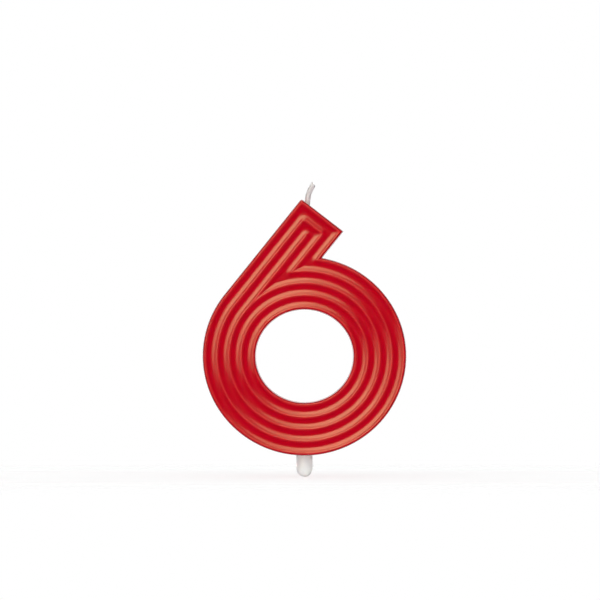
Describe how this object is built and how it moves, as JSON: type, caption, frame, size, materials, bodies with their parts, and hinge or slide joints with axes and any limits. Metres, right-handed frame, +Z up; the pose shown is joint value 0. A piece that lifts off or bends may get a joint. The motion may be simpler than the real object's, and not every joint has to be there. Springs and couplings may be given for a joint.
{
  "type": "number candle",
  "caption": "Fluted wax numeral candle shaped as a six, with a cotton wick cast along its stroke and a plastic peg that stands it in a cake.",
  "frame": {"origin": "on the peg's axis where it leaves the lowest point of the wax, half way through the wax's thickness", "axes": "+Z up along the peg and the figure's height, +X to the right of the figure as it is read, +Y out of the flat back, so the fluted front looks along -Y"},
  "size_m": [0.0558, 0.01, 0.0806],
  "materials": {
    "red_wax": "cast paraffin wax, dyed red all through, with a smooth glossy skin",
    "wick_cotton": "braided white cotton, stiffened with clear wax",
    "peg_plastic": "moulded translucent white polypropylene, satin"
  },
  "bodies": {
    "root": {"wax_numeral": "red_wax", "wick": "wick_cotton", "peg": "peg_plastic"}
  },
  "joints": []
}
